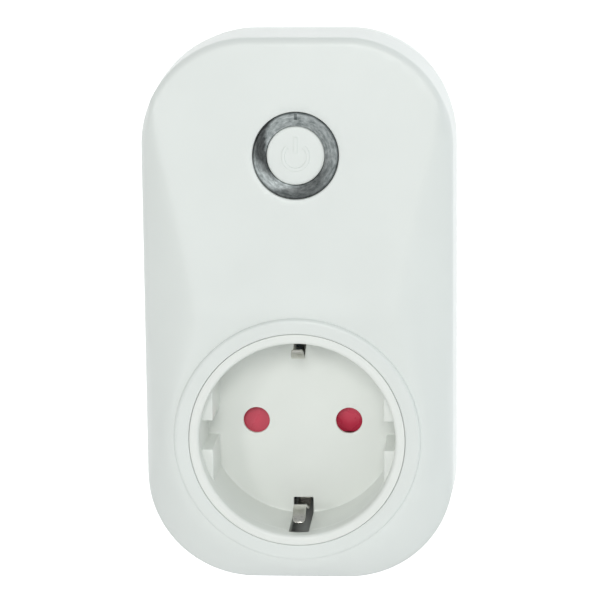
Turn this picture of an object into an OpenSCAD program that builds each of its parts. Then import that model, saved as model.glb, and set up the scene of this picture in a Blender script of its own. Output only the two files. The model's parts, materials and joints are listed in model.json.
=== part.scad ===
// Wall-plug adapter with a remote switch: earthed socket in front, earthed plug behind.
// Frame: X to the right, Z up, front towards -Y. The origin is on the common axis of the socket
// and the plug, in the flat rear face that meets the wall. Millimetres.

/* [Body] */
// Width of the body across its straight sides
body_w = 62; // [60:0.5:84]
// Distance from the socket axis up to the top edge
top_rise = 79.5; // [78:0.5:120]
// Depth from the wall face to the rim of the socket
body_d = 32; // [32:0.5:42]
// Radius of the four corners seen from the front
corner_r = 21.5; // [16:0.5:24]
// Distance from the socket axis down to the lower edge
bottom_drop = 30.5; // [29:0.5:40]
// Wall thickness of both shells
wall = 2; // [1.6:0.1:2.6]
// How far the rim of the socket stands before the edge of the front face
edge_drop = 7.6; // [6:0.1:9]
// Depth of the rear shell
rear_d = 12; // [10:0.5:15]
// How much wider the body is at the seam than at its front edge, on each side
flare = 0.5; // [0:0.1:1]
// How far the rear edge of the body draws in, on each side
rear_draw = 3; // [1:0.1:3.5]

/* [Socket] */
// Radius of the recess that takes the plug
recess_r = 19.6; // [19.5:0.05:20.5]
// Depth of the recess
recess_d = 17.5; // [17.5:0.1:18]
// Distance from the axis to each flat guide wall
guide_x = 17.13; // [17:0.05:17.6]
// Depth of the guide walls' upper edge below the rim
guide_drop = 4.2; // [3:0.1:6]
// Width of the notch in each guide wall
notch_w = 5.9; // [5.5:0.1:7]
// Wall of the socket insert
insert_wall = 1.8; // [1.4:0.1:2.2]
// Gap all round between the insert and the collar
insert_gap = 0.2; // [0.1:0.05:0.4]
// Radius of the raised collar
collar_r = 24.7; // [24.4:0.1:27]
// How far the collar stands proud of the sloped face
collar_step = 0.9; // [0.5:0.1:1.5]
// Distance between the two pin holes
pin_pitch = 19; // [18.8:0.1:19.2]
// Radius of the pin holes
pin_hole_r = 2.7; // [2.6:0.05:2.9]
// Thickness of the recess floor
floor_t = 2.2; // [1.8:0.1:2.6]

/* [Plug] */
// Radius of the plug pins
pin_r = 2.4; // [2.35:0.01:2.45]
// Length of the pins outside the plug body
pin_len = 19; // [18.5:0.1:19.5]
// Radius of the plug body
boss_r = 18.4; // [18.2:0.05:18.6]
// Height of the plug body above the wall face
boss_h = 17; // [16:0.1:17.4]
// Distance from the axis to each flat side of the plug body
boss_flat = 16.8; // [16.5:0.05:17]
// Height of the French earth hole above the axis
earth_hole_z = 10; // [10:0.1:10.5]
// Radius of the French earth hole
earth_hole_r = 2.55; // [2.5:0.01:2.7]

/* [Button] */
// Distance from the upper edge down to the button axis
button_drop = 23; // [20:0.5:26]
// Radius of the button
button_r = 5.75; // [5:0.05:6.5]
// Outer radius of the light ring
ring_r = 8.45; // [7.8:0.05:9.2]
// Travel of the button
button_travel = 0.4; // [0.3:0.05:0.6]

/* [Shutter] */
// Turning angle that uncovers the pin holes
shutter_turn = 38; // [36:1:42]
// Thickness of the shutter
shutter_t = 2.4; // [2:0.1:2.6]

/* [Earth clips] */
// Width of an earth clip
clip_w = 2.6; // [2.2:0.1:3.4]
// Sheet thickness of an earth clip
clip_t = 0.5; // [0.4:0.05:0.8]
// Innermost reach of an earth clip, measured from the axis
clip_reach = 15.2; // [14.8:0.1:16.2]
// Angle that an earth clip gives way by
clip_turn = 8; // [4:1:8]

/* [Boards] */
// Thickness of the mains board
board_t = 1.6; // [1.2:0.1:2]
// Height of the relay above the mains board
relay_h = 15.4; // [13:0.1:15.6]
// Width of the relay
relay_w = 19; // [18:0.1:20]
// Depth of the relay along the board
relay_l = 15.4; // [14:0.1:15.6]

/* [Hidden] */

$fn = 96;
hull_fn = 48;

// Overshoot of every cut, play between fitted parts, thickness of the slices that a hull spans
cut = 0.5;
slip = 0.1;
slice = 0.1;

// Colours
white = "#e6ebe7";
grey = "#d8d8d2";
red = "#c8324f";
metal = "#b9bcc0";
brass = "#c9a45a";
board_green = "#2f6b46";
dark = "#26282b";

// Outline places
body_h = top_rise + bottom_drop;
mid_z = top_rise - body_h / 2;
rim_y = -body_d;
collar_y = rim_y + collar_step;
edge_y = rim_y + edge_drop;
edge_round = 0.8;
seam_y = -rear_d;
lip_h = 2;
lip_t = 1.2;

// Sloped face: a plane that runs from the collar up to the top edge
slope = atan((edge_y - collar_y) / (top_rise - collar_r));
button_z = top_rise - button_drop;
face_y = collar_y + (button_z - collar_r) * tan(slope);

// Screws
pilot_slip = 0.02;
shell_screw_r = 1.25;
shell_head_r = 2.4;
shell_head_y = -2.6;
shell_head_h = 1.6;
shell_screw_end = seam_y - 6;
shell_post_r = 3;
low_screw_x = body_w / 2 - 12.2;
low_screw_z = -bottom_drop + 11.6;
high_screw_x = body_w / 2 - 13.2;
high_screw_z = top_rise - 8;

// Socket insert, front to back
seat_r = collar_r - 0.3;
floor_y = rim_y + recess_d;
floor_back = floor_y + floor_t;
insert_r = recess_r + insert_wall;
collar_hole_r = insert_r + insert_gap;
flange_r = insert_r + 1.6;
flange_y = rim_y + 3.6;
flange_t = 1.2;
shutter_y = floor_back + 0.2;
shutter_back = shutter_y + shutter_t;
carrier_y = shutter_back + 0.2;
carrier_t = 2;
carrier_back = carrier_y + carrier_t;
carrier_r = insert_r - 2.4;
carrier_screw_r = 1;
carrier_screw_z = 11;
carrier_post_r = 2.4;
screw_hole_r = carrier_screw_r + 0.2;

// Shutter: two arms on a hub, just wide enough to cover the holes and to clear them when turned
post_r = 1.5;
hub_r = 3.8;
hub_bore_r = post_r + slip;
arm_len = pin_pitch / 2 + pin_hole_r + 0.6;
arm_half_w = pin_pitch / 2 * sin(shutter_turn) - pin_hole_r - 0.05;
arm_ramp = 1.1;
spring_pocket_r = 3;
spring_pocket_d = 1.6;

// Earth clips
slot_w = clip_w + 1.5;
slot_front_y = rim_y + 2.7;
slot_in = recess_r - 3.7;
clip_front_y = slot_front_y + 0.4;
clip_back_y = carrier_back - 0.3;
clip_bend_y = floor_y - 0.5;
clip_root_z = insert_r - 0.3 - clip_t - (clip_back_y - clip_front_y) * sin(clip_turn);

// Contacts
sheet = 0.8;
sleeve_r = pin_r + 0.05;
sleeve_out_r = sleeve_r + 0.6;
sleeve_head_r = sleeve_out_r + 1.1;
sleeve_hole_r = sleeve_out_r + 0.2;
sleeve_front = carrier_y + slip;
sleeve_end = floor_y + pin_len + 0.8;
tab_w = 4;

// Mains board and what stands on it
board_front = -wall - 1.9 - board_t;
board_back = board_front + board_t;
board_half_w = body_w / 2 - 5.75;
board_low = insert_r + 1.1;
board_high = top_rise - 13;
relay_x = -10;
relay_low = board_low + 4.5;
relay_top = relay_low + relay_l;
relay_wall = 0.8;
coil_r = 4.2;
coil_y = board_front - relay_h / 2;
coil_z = relay_low + relay_l / 2;
coil_half_w = 4;
yoke_t = 1.2;
yoke_y = coil_y - coil_r - 0.7;
core_end_x = relay_x + 2.6;
armature_x = core_end_x + 0.8;
armature_t = 1;
armature_y = yoke_y - 0.6;
trafo_x = 9;
trafo_y = board_front - 6.2;
trafo_z = relay_low + 7.4;
trafo_leg = [2, 2.4];
board_screw_r = 1;
board_head_r = 1.9;
board_post_r = 2.4;
board_post_x = board_half_w - board_post_r;
board_post_z = relay_top + 3.1;
input_r = 5;
input_x = -board_half_w + input_r + 0.2;
input_z = board_post_z + board_post_r + input_r + 0.6;
output_r = 4;
output_z = input_z + input_r + output_r + 0.4;

// Plug
boss_wall = 2.2;
boss_face_t = 3;
boss_in_r = boss_r - boss_wall;
boss_flange_r = boss_r + 1.6;
boss_flange_back = -wall - 1;
retainer_t = 2;
retainer_y = boss_h - 6.5;
pin_neck_r = pin_r - 0.3;
pin_neck_end = boss_h + 0.4;
pin_inner_y = retainer_y - 0.5;
strip_w = 4;
strip_t = 0.8;
strip_in = boss_r - 1.3;
strip_end = boss_h - 1.4;
tube_wall = 0.5;
tube_hole_r = earth_hole_r + tube_wall + slip;
tube_back = boss_h - 14;

// Button and light ring
button_back = face_y + 4.9;
button_flange_t = 0.8;
button_flange_r = button_r + 1.05;
ring_in_r = button_r + 0.15;
ring_skirt_in = button_flange_r + 0.3;
ring_flange_y = face_y + 3.6;
ring_flange_t = 0.8;
ring_flange_r = ring_r + 1.15;
ring_post_r = ring_flange_r + 0.8;

// Control board with the push switch, the lights and the radio
plunger_r = 1.7;
plunger_y = button_back + slip;
switch_h = 3.4;
switch_y = plunger_y + 0.8;
control_y = switch_y + switch_h;
control_t = 1.2;
control_back = control_y + control_t;
control_half_w = min(14.4, -input_x - input_r - 0.4);
control_low = max(button_z - 13.5, relay_top + 0.6);
control_high = button_z + 13.5;
control_screw_r = 0.8;
control_post_r = 2;
control_post_x = control_half_w - 2.4;
control_post_in = 2.9;
wifi_low = max(button_z - 8, control_low + 5);
wifi_high = button_z + 10;
wifi_t = 0.8;

// A disc or rod along Y between two depths
module rod_y(r, y0, y1, x = 0, z = 0) {
    translate([x, y0, z]) rotate([-90, 0, 0]) cylinder(r = r, h = y1 - y0);
}

// A flat outline of the XZ plane, given thickness along Y between two depths
module plate_y(y0, y1) {
    translate([0, y1, 0]) rotate([90, 0, 0]) linear_extrude(y1 - y0) children();
}

// A box given by its lowest and highest corners
module box(low, high) {
    translate(low) cube(high - low);
}

// Outline of the body, drawn in by inset
module outline(inset, fn = $fn) {
    w = body_w - 2 * inset;
    h = body_h - 2 * inset;
    r = corner_r - inset;
    translate([0, mid_z]) {
        square([w - 2 * r, h], center = true);
        square([w, h - 2 * r], center = true);
        for (x = [-1, 1], z = [-1, 1])
            translate([x * (w / 2 - r), z * (h / 2 - r)]) circle(r = r, $fn = fn);
    }
}

// The same thing at both sides of the vertical middle plane
module both_sides() {
    children();
    mirror([1, 0, 0]) children();
}

// The same thing above and below the axis
module up_and_down() {
    children();
    mirror([0, 0, 1]) children();
}

// Everything on the room side of the sloped face, moved back by depth
module before_slope(depth) {
    reach = body_h;
    translate([0, collar_y + depth, collar_r]) rotate([-slope, 0, 0])
        translate([-reach, -reach, -reach]) cube([2 * reach, reach, 2 * reach]);
}

// Solid form of the front shell, drawn in by inset on every side
module front_form(inset) {
    side_y = edge_y + edge_round + inset;
    hull() {
        rod_y(collar_r - inset, collar_y + inset, collar_y + inset + slice, $fn = hull_fn);
        plate_y(edge_y + inset, edge_y + inset + slice) outline(inset + edge_round, hull_fn);
        plate_y(side_y, side_y + slice) outline(inset, hull_fn);
        plate_y(seam_y - slice, seam_y) outline(inset - flare, hull_fn);
    }
}

module shell_screw_places() {
    for (x = [-1, 1]) {
        translate([x * low_screw_x, 0, low_screw_z]) children();
        translate([x * high_screw_x, 0, high_screw_z]) children();
    }
}

module control_post_places() {
    for (x = [-1, 1], z = [control_low + control_post_in, control_high - control_post_in])
        translate([x * control_post_x, 0, z]) children();
}

module board_post_places() {
    for (x = [-1, 1])
        translate([x * board_post_x, 0, board_post_z]) children();
}

// White front shell: raised collar, sloped face, hole for the ring, posts inside
module front_housing() {
    control_pilot_y = control_y - 4;
    color(white) difference() {
        union() {
            difference() {
                union() {
                    front_form(0);
                    rod_y(collar_r, rim_y, collar_y + cut);
                }
                difference() {
                    front_form(wall);
                    rod_y(seat_r, rim_y, flange_y);
                    rod_y(ring_post_r, rim_y, ring_flange_y, 0, button_z);
                    shell_screw_places() rod_y(shell_post_r, rim_y, seam_y - lip_h);
                    control_post_places() rod_y(control_post_r, rim_y, control_y);
                }
                plate_y(seam_y - lip_h, seam_y + cut) outline(wall - flare);
            }
            intersection() {
                front_form(wall / 2);
                shell_screw_places() rod_y(shell_post_r, rim_y, seam_y);
            }
        }
        rod_y(collar_hole_r, rim_y - cut, flange_y + cut);
        rod_y(flange_r + slip, flange_y, flange_y + flange_t + slip);
        rod_y(ring_r + slip, rim_y, ring_flange_y + cut, 0, button_z);
        shell_screw_places() rod_y(shell_screw_r + pilot_slip, shell_screw_end - cut, seam_y + cut);
        control_post_places() rod_y(control_screw_r + pilot_slip, control_pilot_y, control_y + cut);
    }
}

// White rear shell: a tray with posts for the screws and a hole for the plug housing
module rear_housing() {
    post_wall = 0.8;
    color(white) difference() {
        union() {
            difference() {
                hull() {
                    plate_y(seam_y, seam_y + slice) outline(-flare, hull_fn);
                    plate_y(-rear_draw - slice, -rear_draw) outline(0, hull_fn);
                    plate_y(-rear_draw / 3, -rear_draw / 3 + slice) outline(rear_draw / 3, hull_fn);
                    plate_y(-slice, 0) outline(rear_draw, hull_fn);
                }
                difference() {
                    plate_y(seam_y - cut, -wall) outline(wall + rear_draw / 2);
                    shell_screw_places() rod_y(shell_post_r, seam_y, 0);
                    board_post_places() rod_y(board_post_r, board_back, 0);
                }
            }
            difference() {
                plate_y(seam_y - lip_h, seam_y + cut) outline(wall - flare + slip);
                plate_y(seam_y - lip_h - cut, seam_y + 2 * cut) outline(wall - flare + slip + lip_t);
                shell_screw_places() rod_y(shell_post_r + slip, rim_y, seam_y);
            }
        }
        plate_y(-wall - cut, cut) plug_outline(slip / 2);
        shell_screw_places() rod_y(shell_screw_r + slip, seam_y - cut, cut);
        shell_screw_places() rod_y(shell_head_r + slip, shell_head_y - slip, cut);
        board_post_places() rod_y(board_screw_r + pilot_slip, board_back - cut, -post_wall);
    }
}

// Outline of the plug body, grown by gap: a round with two flats and a rib in the middle of each
module plug_outline(gap) {
    rib_w = notch_w - 0.7;
    intersection() {
        circle(r = boss_r + gap);
        union() {
            square([2 * (boss_flat + gap), 3 * boss_r], center = true);
            square([3 * boss_r, rib_w + 2 * gap], center = true);
        }
    }
}

// White plug housing: a deep cap that is welded behind the rear shell by its flange
module plug_housing() {
    color(white) difference() {
        union() {
            plate_y(-wall, boss_h) plug_outline(0);
            rod_y(boss_flange_r, boss_flange_back, -wall);
        }
        rod_y(boss_in_r, boss_flange_back - cut, boss_h - boss_face_t);
        both_sides() rod_y(pin_r + pilot_slip, 0, boss_h + cut, pin_pitch / 2);
        rod_y(tube_hole_r, 0, boss_h + cut, 0, earth_hole_z);
        up_and_down() box([-strip_w / 2 - slip, boss_flange_back - cut, strip_in - slip],
            [strip_w / 2 + slip, boss_h + cut, boss_r + slip]);
    }
}

// Flat guide walls at the left and right of the recess
module guides() {
    intersection() {
        rod_y(recess_r + cut, rim_y + guide_drop, floor_back);
        both_sides() up_and_down() box([guide_x, rim_y, notch_w / 2], [insert_r, 0, insert_r]);
    }
}

// White socket insert: a cup with flange, guide walls, pin holes, clip slots and the shutter's post
module socket_insert() {
    pilot_y = floor_back - 3 * cut;
    color(white) difference() {
        union() {
            rod_y(insert_r, rim_y, floor_back);
            rod_y(flange_r, flange_y, flange_y + flange_t);
            rod_y(post_r, floor_back - cut, carrier_y);
            up_and_down() rod_y(carrier_post_r, floor_back - cut, carrier_y, 0, carrier_screw_z);
        }
        difference() {
            rod_y(recess_r, rim_y - cut, floor_y);
            guides();
        }
        both_sides() rod_y(pin_hole_r, floor_y - cut, floor_back + cut, pin_pitch / 2);
        up_and_down() {
            rod_y(carrier_screw_r + pilot_slip, pilot_y, carrier_y + cut, 0, carrier_screw_z);
            box([-slot_w / 2, slot_front_y, slot_in], [slot_w / 2, floor_back + cut, flange_r + cut]);
        }
    }
}

// Carrier behind the insert: a tray that closes the shutter chamber and holds the contacts
module contact_carrier() {
    ring_wall = 1.6;
    color(grey) difference() {
        rod_y(carrier_r, floor_back, carrier_back);
        rod_y(carrier_r - ring_wall, floor_back - cut, carrier_y);
        both_sides() rod_y(sleeve_hole_r, carrier_y - cut, carrier_back + cut, pin_pitch / 2);
        up_and_down() {
            rod_y(screw_hole_r, carrier_y - cut, carrier_back + cut, 0, carrier_screw_z);
            box([-slot_w / 2, floor_back - cut, slot_in],
                [slot_w / 2, carrier_back + cut, carrier_r + cut]);
        }
    }
}

// One arm of the shutter, with a sloped face that a pin pushes aside
module shutter_arm() {
    intersection() {
        rod_y(arm_len, shutter_y, shutter_back);
        rotate([90, 0, 90]) linear_extrude(arm_len)
            polygon([[shutter_y, arm_half_w], [shutter_y + arm_ramp, -arm_half_w],
                [shutter_back, -arm_half_w], [shutter_back, arm_half_w]]);
    }
}

// Red shutter: hub with two arms, turning on the post of the insert
module shutter() {
    color(red) difference() {
        union() {
            rod_y(hub_r, shutter_y, shutter_back);
            shutter_arm();
            rotate([0, 180, 0]) shutter_arm();
        }
        rod_y(hub_bore_r, shutter_y - cut, shutter_back + cut);
        rod_y(spring_pocket_r, shutter_back - spring_pocket_d, shutter_back + cut);
    }
}

// A helix about the Y axis as one closed tube
module helix_y(mean_r, wire_r, turns, pitch, y0) {
    sides = 8;
    rings_a_turn = 18;
    rings = turns * rings_a_turn;
    function ring_points(i) = let (a = 360 * i / rings_a_turn)
        [for (k = [0:sides - 1]) let (b = 360 * k / sides, r = mean_r + wire_r * cos(b))
            [r * cos(a), y0 + pitch * i / rings_a_turn + wire_r * sin(b), r * sin(a)]];
    points = [for (i = [0:rings]) each ring_points(i)];
    walls = [for (i = [0:rings - 1], k = [0:sides - 1]) let (n = (k + 1) % sides)
        [i * sides + k, (i + 1) * sides + k, (i + 1) * sides + n, i * sides + n]];
    first = [[for (k = [0:sides - 1]) k]];
    last = [[for (k = [0:sides - 1]) rings * sides + sides - 1 - k]];
    polyhedron(points, concat(walls, first, last));
}

// Return spring of the shutter
module shutter_spring() {
    mean_r = 2.2;
    wire_r = 0.15;
    turns = 3;
    coil_pitch = 0.4;
    first_turn_y = shutter_back - spring_pocket_d + 2 * wire_r;
    color(metal) helix_y(mean_r, wire_r, turns, coil_pitch, first_turn_y);
}

// Distance of a clip from the axis at a share t of its free length
function clip_bow(t) = clip_root_z - (clip_root_z - clip_reach) * sin(180 * t * t);

// An earth clip: straight leg, then a bow into the recess
module earth_clip() {
    steps = 24;
    path = concat([[clip_back_y, clip_root_z]],
        [for (i = [0:steps]) let (t = i / steps)
            [clip_bend_y + (clip_front_y - clip_bend_y) * t, clip_bow(t)]]);
    last = len(path) - 1;
    color(metal) translate([-clip_w / 2, 0, 0]) rotate([90, 0, 90]) linear_extrude(clip_w)
        polygon(concat(path, [for (i = [last:-1:0]) path[i] + [0, clip_t]]));
}

module earth_clip_top() {
    earth_clip();
}

module earth_clip_bottom() {
    mirror([0, 0, 1]) earth_clip();
}

// Steel strap behind the carrier that joins all earth contacts
module earth_bridge() {
    half_w = 3;
    half_h = strip_in + strip_t;
    leg_half_w = 2;
    leg_z = earth_hole_z - 4;
    color(metal) difference() {
        union() {
            box([-half_w, carrier_back, -half_h], [half_w, carrier_back + sheet, half_h]);
            box([-leg_half_w, carrier_back, leg_z], [leg_half_w, tube_back, leg_z + sheet]);
        }
        up_and_down() rod_y(screw_hole_r, carrier_y, carrier_back + 2 * sheet, 0, carrier_screw_z);
    }
}

// Sprung sleeve that grips a pin, with a tab that is soldered to the mains board
module pin_contact(x) {
    half_cut = 0.35;
    grip_y = board_front + 1;
    color(brass) difference() {
        union() {
            rod_y(sleeve_out_r, sleeve_front, sleeve_end, x);
            rod_y(sleeve_head_r, carrier_back, carrier_back + sheet, x);
            box([x - tab_w / 2, board_front - sheet, sleeve_r],
                [x + tab_w / 2, board_front, board_low + tab_w]);
        }
        rod_y(sleeve_r, sleeve_front - cut, sleeve_end + cut, x);
        box([x - half_cut, grip_y, -2 * sleeve_r], [x + half_cut, sleeve_end + cut, 2 * sleeve_r]);
    }
}

module live_contact() {
    pin_contact(-pin_pitch / 2);
}

module neutral_contact() {
    pin_contact(pin_pitch / 2);
}

// Solid plug pin: a spigot for its strap, a collar, a neck inside the plug body and a rounded tip
module plug_pin(x) {
    tip_r = 1.6;
    collar_w = 1;
    spigot_r = 1.2;
    spigot_end = pin_inner_y - sheet - 0.3;
    collar_back = retainer_y + retainer_t;
    collar_front = boss_h - boss_face_t;
    tip_y = boss_h + pin_len;
    inner = [[0, spigot_end], [spigot_r, spigot_end], [spigot_r, pin_inner_y],
        [pin_neck_r, pin_inner_y]];
    collar = [[pin_neck_r, collar_back], [pin_neck_r + collar_w, collar_back],
        [pin_neck_r + collar_w, collar_front], [pin_neck_r, collar_front]];
    outer = [[pin_neck_r, pin_neck_end], [pin_r, pin_neck_end]];
    tip = [for (a = [0:15:90]) [pin_r - tip_r + tip_r * cos(a), tip_y - tip_r + tip_r * sin(a)]];
    color(metal) translate([x, 0, 0]) rotate([-90, 0, 0]) rotate_extrude()
        polygon(concat(inner, collar, outer, tip, [[0, tip_y]]));
}

module live_pin() {
    plug_pin(-pin_pitch / 2);
}

module neutral_pin() {
    plug_pin(pin_pitch / 2);
}

// Plate that keeps the pins in the plug body
module pin_retainer() {
    color(grey) difference() {
        rod_y(boss_in_r - slip, retainer_y, retainer_y + retainer_t);
        both_sides() rod_y(pin_neck_r + slip / 2, retainer_y - cut, boss_h, pin_pitch / 2);
        rod_y(tube_hole_r, retainer_y - cut, boss_h, 0, earth_hole_z);
    }
}

// Strap from a plug pin to the back of the mains board, over the contact sleeve
module pin_strap(x) {
    half_w = 2;
    top = sleeve_out_r + 5.4;
    low = -3;
    spigot_hole_r = 1.25;
    lap = 7;
    foot_y = pin_inner_y - sheet;
    color(brass) difference() {
        union() {
            box([x - half_w, foot_y, low], [x + half_w, pin_inner_y, top]);
            box([x - half_w, board_back, top - sheet], [x + half_w, pin_inner_y, top]);
            box([x - half_w, board_back, top - sheet], [x + half_w, board_back + sheet, board_low + lap]);
        }
        rod_y(spigot_hole_r, foot_y - cut, pin_inner_y + cut, x);
    }
}

module live_strap() {
    pin_strap(-pin_pitch / 2);
}

module neutral_strap() {
    pin_strap(pin_pitch / 2);
}

// Earth strip along the side of the plug body
module plug_earth() {
    root_y = carrier_back + sheet;
    swell = 0.4;
    steps = 16;
    inner = [for (i = [0:steps]) let (t = i / steps)
        [root_y + (strip_end - root_y) * t, strip_in + swell * pow(sin(180 * t * t * t), 2)]];
    color(metal) translate([-strip_w / 2, 0, 0]) rotate([90, 0, 90]) linear_extrude(strip_w)
        polygon(concat(inner, [for (i = [steps:-1:0]) inner[i] + [0, strip_t]]));
}

module plug_earth_top() {
    plug_earth();
}

module plug_earth_bottom() {
    mirror([0, 0, 1]) plug_earth();
}

// Tube that takes the earth pin of a French socket
module earth_sleeve() {
    rim_w = 1.9;
    set_back = 0.2;
    color(metal) difference() {
        union() {
            rod_y(earth_hole_r + tube_wall, tube_back, boss_h - set_back, 0, earth_hole_z);
            rod_y(earth_hole_r + rim_w, tube_back, tube_back + sheet, 0, earth_hole_z);
        }
        rod_y(earth_hole_r, tube_back - cut, boss_h, 0, earth_hole_z);
    }
}

// Clear ring between the button and the shell; its skirt takes the light in
module light_ring() {
    skirt_end = control_y - 1.5;
    flange_room = 0.3;
    color("#9aa3a6", 0.7) difference() {
        union() {
            rod_y(ring_r, rim_y, skirt_end, 0, button_z);
            rod_y(ring_flange_r, ring_flange_y, ring_flange_y + ring_flange_t, 0, button_z);
        }
        before_slope(0);
        rod_y(ring_in_r, rim_y - cut, control_y, 0, button_z);
        rod_y(ring_skirt_in, button_back - button_flange_t - flange_room, control_y, 0, button_z);
    }
}

// Push button with a shallow power sign standing on its face
module power_button() {
    set_back = 0.1;
    sign_r = 2.75;
    sign_w = 0.55;
    sign_h = 0.25;
    color(white) difference() {
        union() {
            rod_y(button_r, rim_y, button_back, 0, button_z);
            rod_y(button_flange_r, button_back - button_flange_t, button_back, 0, button_z);
        }
        before_slope(set_back);
        difference() {
            before_slope(set_back + sign_h);
            plate_y(rim_y - cut, button_back) power_sign(sign_r, sign_w);
        }
    }
}

// Arc open at the top with a bar in the opening
module power_sign(r, w) {
    opening = 32;
    side = 3 * r;
    bar_low = 0.2 * r;
    bar_high = 1.35 * r;
    translate([0, button_z]) {
        difference() {
            circle(r = r + w / 2);
            circle(r = r - w / 2);
            polygon([[0, 0], [-side * tan(opening), side], [side * tan(opening), side]]);
        }
        translate([-w / 2, bar_low]) square([w, bar_high - bar_low]);
    }
}

// Push switch soldered to the control board
module switch_body() {
    half = 3;
    back_wall = 1;
    color(dark) difference() {
        box([-half, switch_y, button_z - half], [half, control_y, button_z + half]);
        rod_y(plunger_r + slip, switch_y - cut, control_y - back_wall, 0, button_z);
    }
}

module switch_plunger() {
    back_room = 1 + button_travel + slip;
    color("#7d8084") rod_y(plunger_r, plunger_y, control_y - back_room, 0, button_z);
}

// Small board for the button, the light and the radio
module control_board() {
    color(board_green) difference() {
        box([-control_half_w, control_y, control_low], [control_half_w, control_back, control_high]);
        control_post_places() rod_y(control_screw_r + pilot_slip, control_y - cut, control_back + cut);
    }
}

// Light-emitting diodes in a circle under the skirt of the ring
module ring_leds() {
    count = 6;
    half_w = 1;
    half_l = 0.7;
    height = 0.9;
    middle_r = (ring_skirt_in + ring_r) / 2;
    for (i = [0:count - 1])
        color("#f2efe0") translate([0, 0, button_z]) rotate([0, 360 * (i + 0.5) / count, 0])
            box([-half_w, control_y - height, middle_r - half_l],
                [half_w, control_y, middle_r + half_l]);
}

module wifi_board() {
    half_w = 9;
    color("#274f8f") box([-half_w, control_back, wifi_low], [half_w, control_back + wifi_t, wifi_high]);
}

// Shield can of the radio, open towards its board
module wifi_shield() {
    half_w = 7.5;
    margin = 1.5;
    antenna = 6;
    can_t = 0.3;
    can_h = 2.2;
    can_wall = [can_t, 0, can_t];
    low = [-half_w, control_back + wifi_t, wifi_low + margin];
    high = [half_w, low[1] + can_h, wifi_high - antenna];
    color(metal) difference() {
        box(low, high);
        box(low + can_wall - [0, cut, 0], high - can_wall - [0, can_t, 0]);
    }
}

// Pin header between the control board and the mains board
module board_header() {
    pins = 5;
    pitch = 2;
    half_pin = 0.3;
    spacer_h = 2;
    z = control_low + pitch;
    spacer_back = control_back + spacer_h;
    color(dark) {
        box([-pins * pitch / 2, control_back, z - pitch / 2],
            [pins * pitch / 2, spacer_back, z + pitch / 2]);
        for (i = [0:pins - 1]) let (x = (i - (pins - 1) / 2) * pitch)
            box([x - half_pin, spacer_back - cut, z - half_pin],
                [x + half_pin, board_front, z + half_pin]);
    }
}

module main_board() {
    hole_r = 1.2;
    color(board_green) difference() {
        box([-board_half_w, board_front, board_low], [board_half_w, board_back, board_high]);
        board_post_places() rod_y(hole_r, board_front - cut, board_back + cut);
    }
}

// Relay case: a box, open inside, standing on the mains board
module relay_case() {
    low = [relay_x - relay_w / 2, board_front - relay_h, relay_low];
    high = [relay_x + relay_w / 2, board_front, relay_top];
    inset = [relay_wall, relay_wall, relay_wall];
    color("#2a4f9c") difference() {
        box(low, high);
        box(low + inset, high - inset);
    }
}

// A rod along X between two places
module rod_x(r, x0, x1, y, z) {
    translate([x0, y, z]) rotate([0, 90, 0]) cylinder(r = r, h = x1 - x0);
}

// Coil, its core and the yoke that carries the armature
module relay_coil() {
    core_r = 1.6;
    core_tip = 0.8;
    back_x = relay_x - relay_w / 2 + relay_wall;
    low_z = coil_z - coil_half_w;
    high_z = coil_z + coil_half_w;
    color("#a5562c") {
        rod_x(coil_r, back_x, core_end_x - core_tip, coil_y, coil_z);
        rod_x(core_r, back_x, core_end_x, coil_y, coil_z);
        box([back_x, yoke_y - yoke_t, low_z], [back_x + yoke_t, coil_y, high_z]);
        box([back_x, yoke_y - yoke_t, low_z], [core_end_x, yoke_y, high_z]);
    }
}

// Hinged plate that the coil pulls in
module relay_armature() {
    color(metal) box([armature_x, armature_y, coil_z - coil_half_w],
        [armature_x + armature_t, coil_y + coil_r, coil_z + coil_half_w]);
}

// Ferrite core: a frame with a centre leg, lying across the winding
module transformer_core() {
    half = [6.6, trafo_leg[1], 6.2];
    window_x = 4.8;
    window_z = 4.2;
    color("#3a3a3c") translate([trafo_x, trafo_y, trafo_z]) difference() {
        box(-half, half);
        both_sides() box([trafo_leg[0], -half[1] - cut, -window_z], [window_x, half[1] + cut, window_z]);
    }
}

module transformer_winding() {
    half_w = 4.6;
    half_l = 4;
    front = 5.6;
    hole = trafo_leg + [slip, slip];
    color("#d8b13c") translate([trafo_x, trafo_y, trafo_z]) difference() {
        box([-half_w, -front, -half_l], [half_w, board_front - trafo_y, half_l]);
        box([-hole[0], -hole[1], -half_l - cut], [hole[0], hole[1], half_l + cut]);
    }
}

module input_capacitor() {
    length = 16;
    color("#3b3f57") rod_y(input_r, board_front - length, board_front, input_x, input_z);
}

module output_capacitor() {
    length = 11;
    color("#3b3f57") rod_y(output_r, board_front - length, board_front, input_x, output_z);
}

module film_capacitor() {
    size = [6, 12, 13];
    high = [board_half_w - 1.4, board_front, board_post_z + board_post_r + size[2] + 0.6];
    color("#d9b84a") box(high - size, high);
}

// Two wires from a component down to the mains board
module leads(x, z, step_x, step_z, lift) {
    half = 0.3;
    for (i = [0, 1]) let (lead = [x + i * step_x, board_front - lift, z + i * step_z])
        box(lead - [half, 0, half], lead + [half, lift, half]);
}

module varistor() {
    disc_r = 4;
    disc_t = 3.6;
    lift = 5.6;
    lead_pitch = 5;
    x = board_half_w - 3.4;
    color("#2f7fb5") {
        rod_x(disc_r, x - disc_t / 2, x + disc_t / 2, board_front - lift, trafo_z);
        leads(x, trafo_z - lead_pitch / 2, 0, lead_pitch, lift);
    }
}

module fuse_resistor() {
    body_r = 1.8;
    length = 8;
    lift = 2.4;
    lead_in = 1;
    x = board_half_w - length - 1;
    z = board_high - body_r - 0.7;
    color("#6d8f5a") {
        rod_x(body_r, x, x + length, board_front - lift, z);
        leads(x + lead_in, z, length - 2 * lead_in, 0, lift);
    }
}

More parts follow.
